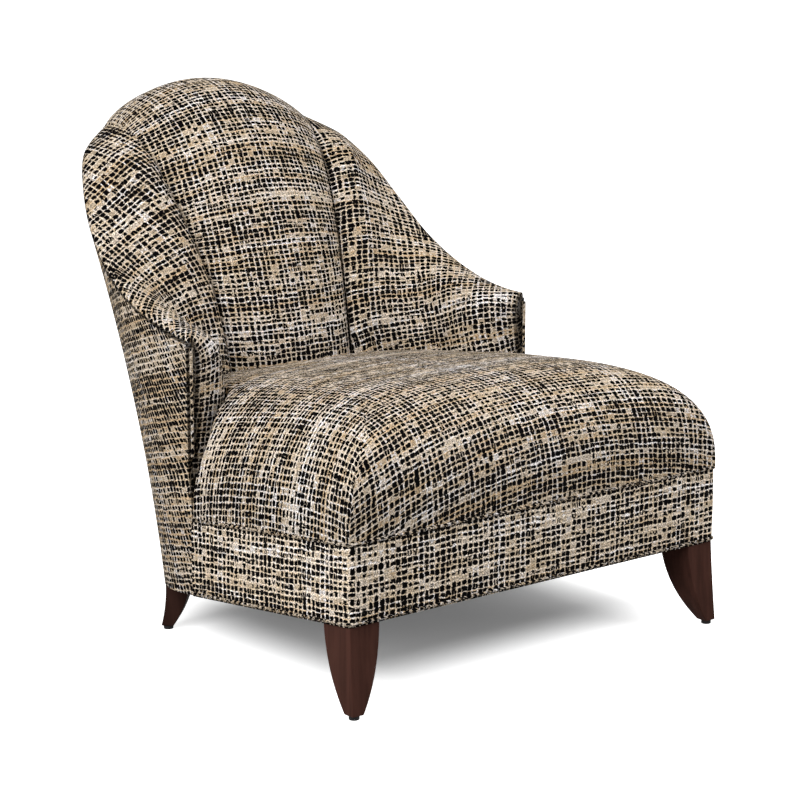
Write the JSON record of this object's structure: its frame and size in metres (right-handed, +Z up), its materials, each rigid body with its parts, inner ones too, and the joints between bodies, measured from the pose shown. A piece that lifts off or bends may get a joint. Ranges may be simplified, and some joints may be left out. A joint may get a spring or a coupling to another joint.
{
  "type": "slipper lounge chair",
  "caption": "Low upholstered lounge chair with a crowned seat, a raked barrel back in padded panels, short arms and tapered wooden legs.",
  "frame": {"origin": "on the floor, under the middle of the bounding box", "axes": "+Z up, -Y towards the front of the seat, +X to the left of a person who sits in the chair"},
  "size_m": [0.8096, 1.005, 0.9076],
  "materials": {
    "cover_fabric": "chunky cream, tan and black tweed",
    "outside_fabric": "the same tweed on the outside",
    "foam": "upholstery foam",
    "frame_wood": "sawn hardwood",
    "webbing": "woven jute webbing",
    "spring_steel": "drawn spring wire",
    "deck_cloth": "hessian",
    "dust_cloth": "black cambric",
    "leg_wood": "dark espresso satin lacquer",
    "glide_plastic": "moulded",
    "bolt_steel": "zinc plated"
  },
  "bodies": {
    "root": {"base_band": "cover_fabric", "seat_cushion_cover": "cover_fabric", "centre_back_cover": "cover_fabric", "left_wing_cover": "cover_fabric", "right_wing_cover": "cover_fabric", "seat_seam_welt": "cover_fabric", "front_hem_welt": "cover_fabric", "left_arm_front_welt": "cover_fabric", "right_arm_front_welt": "cover_fabric", "outside_left_arm_panel": "outside_fabric", "outside_back_panel": "outside_fabric", "outside_right_arm_panel": "outside_fabric", "seat_foam_core": "foam", "centre_back_foam": "foam", "left_wing_foam": "foam", "right_wing_foam": "foam", "front_rail": "frame_wood", "left_side_rail": "frame_wood", "front_left_corner_block": "frame_wood", "rear_left_corner_block": "frame_wood", "right_side_rail": "frame_wood", "front_right_corner_block": "frame_wood", "rear_right_corner_block": "frame_wood", "rear_rail": "frame_wood", "left_arm_post": "frame_wood", "left_arm_rail": "frame_wood", "left_back_post": "frame_wood", "left_back_upright": "frame_wood", "left_arm_lower_rail": "frame_wood", "right_arm_post": "frame_wood", "right_arm_rail": "frame_wood", "right_back_post": "frame_wood", "right_back_upright": "frame_wood", "right_arm_lower_rail": "frame_wood", "back_top_rail": "frame_wood", "back_lower_rail": "frame_wood", "back_web_1": "webbing", "back_web_2": "webbing", "back_web_3": "webbing", "seat_spring_1": "spring_steel", "seat_spring_2": "spring_steel", "seat_spring_3": "spring_steel", "seat_spring_4": "spring_steel", "seat_spring_5": "spring_steel", "spring_deck": "deck_cloth", "dust_cover": "dust_cloth", "front_left_leg": "leg_wood", "rear_left_leg": "leg_wood", "front_right_leg": "leg_wood", "rear_right_leg": "leg_wood", "front_left_glide": "glide_plastic", "rear_left_glide": "glide_plastic", "front_right_glide": "glide_plastic", "rear_right_glide": "glide_plastic", "front_left_hanger_bolt": "bolt_steel", "rear_left_hanger_bolt": "bolt_steel", "front_right_hanger_bolt": "bolt_steel", "rear_right_hanger_bolt": "bolt_steel"}
  },
  "joints": []
}
